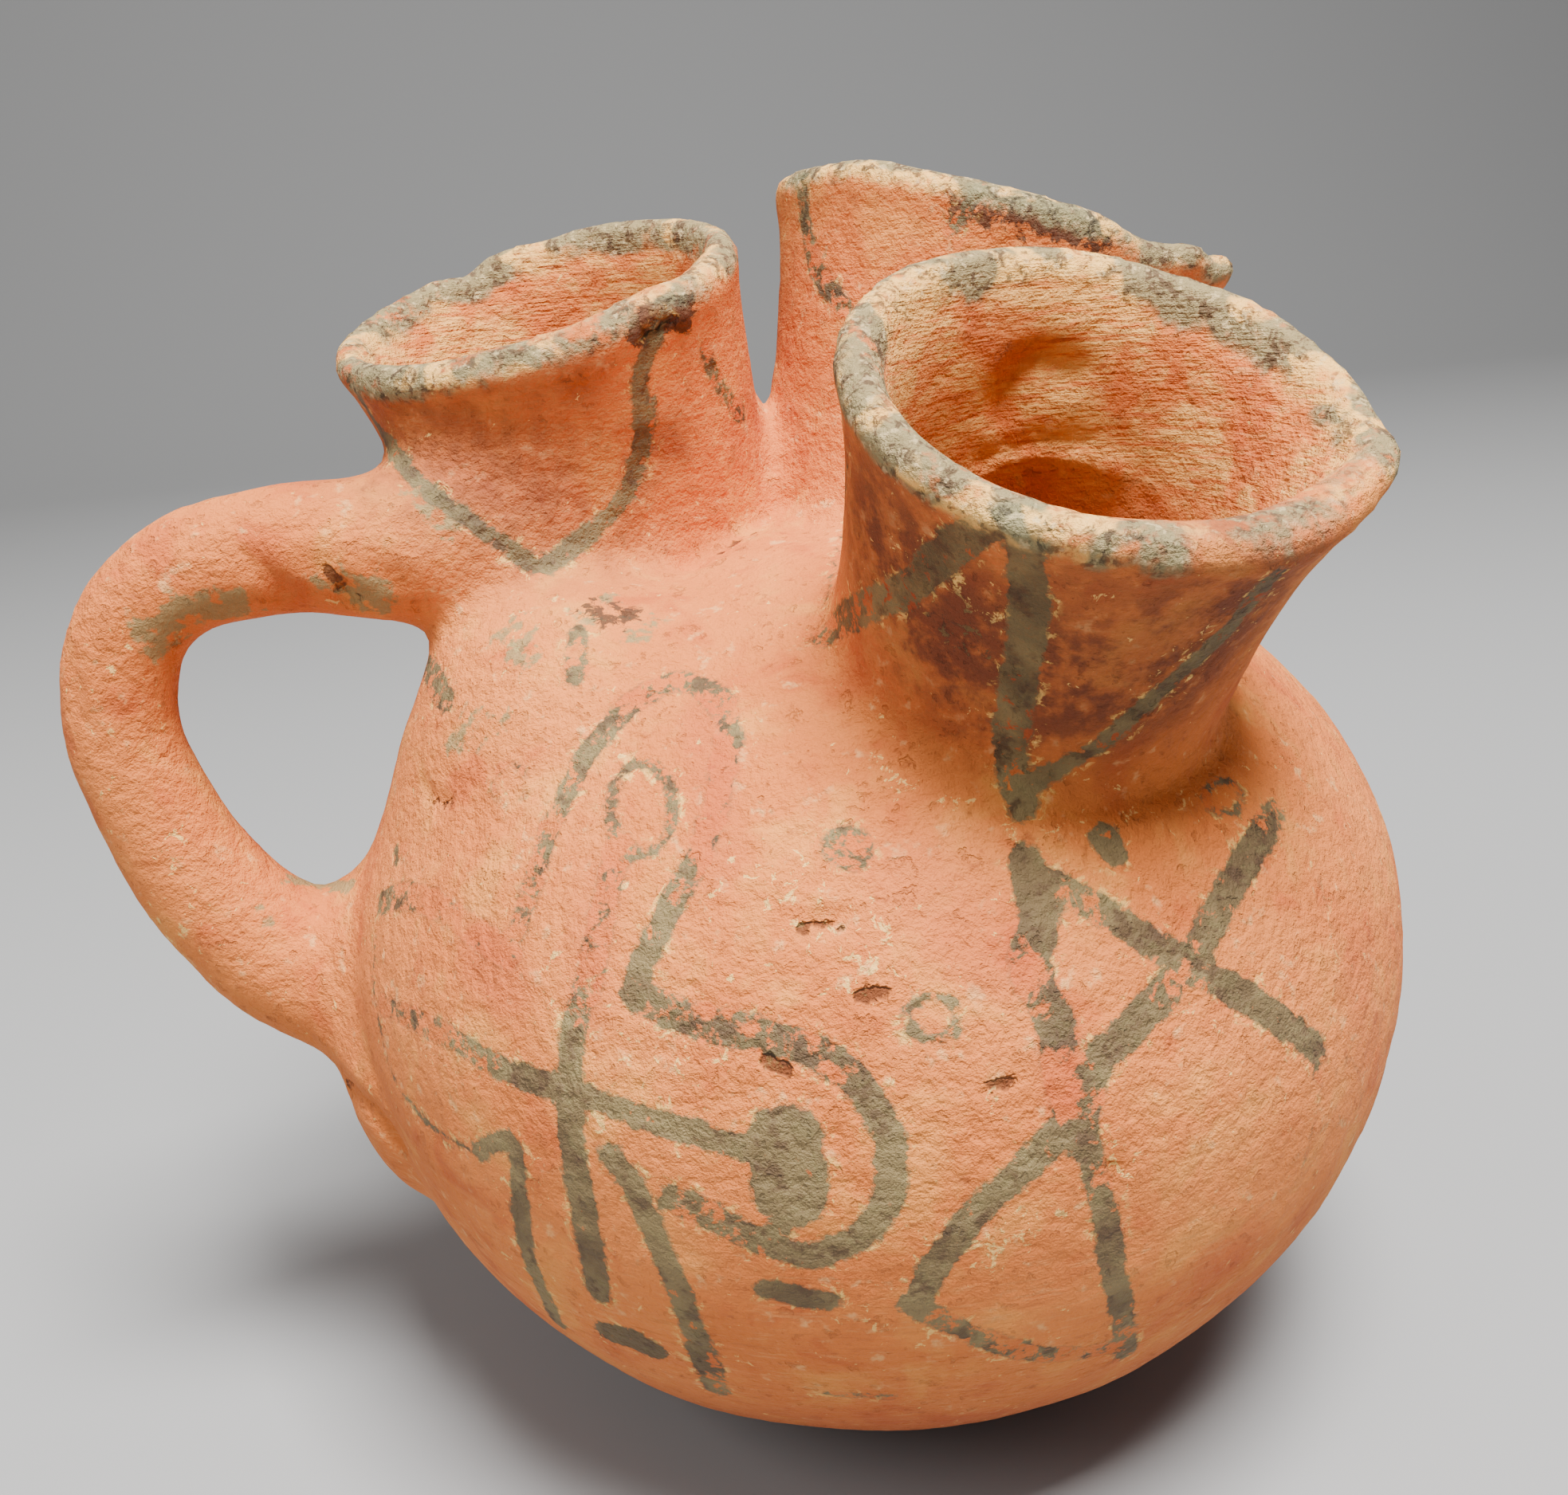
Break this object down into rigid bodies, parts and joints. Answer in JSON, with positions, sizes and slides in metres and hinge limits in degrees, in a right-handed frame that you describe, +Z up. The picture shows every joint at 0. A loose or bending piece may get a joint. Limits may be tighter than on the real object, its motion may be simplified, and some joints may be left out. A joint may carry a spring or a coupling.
{
  "type": "triple-spout vessel",
  "caption": "Hand-built fired-clay jug: a round hollow body with flared spouts on its shoulder and one loop handle, standing on a small flat spot.",
  "frame": {"origin": "centre of the flat spot on the underside that the vessel stands on", "axes": "+Z up, the loop handle on the -X side, the lowest-leaning spout towards -Y"},
  "size_m": [0.1816, 0.1503, 0.1724],
  "materials": {
    "fired_clay": "unglazed orange-red fired clay with worn grey-black painted strokes"
  },
  "bodies": {
    "root": {"vessel": "fired_clay"}
  },
  "joints": []
}
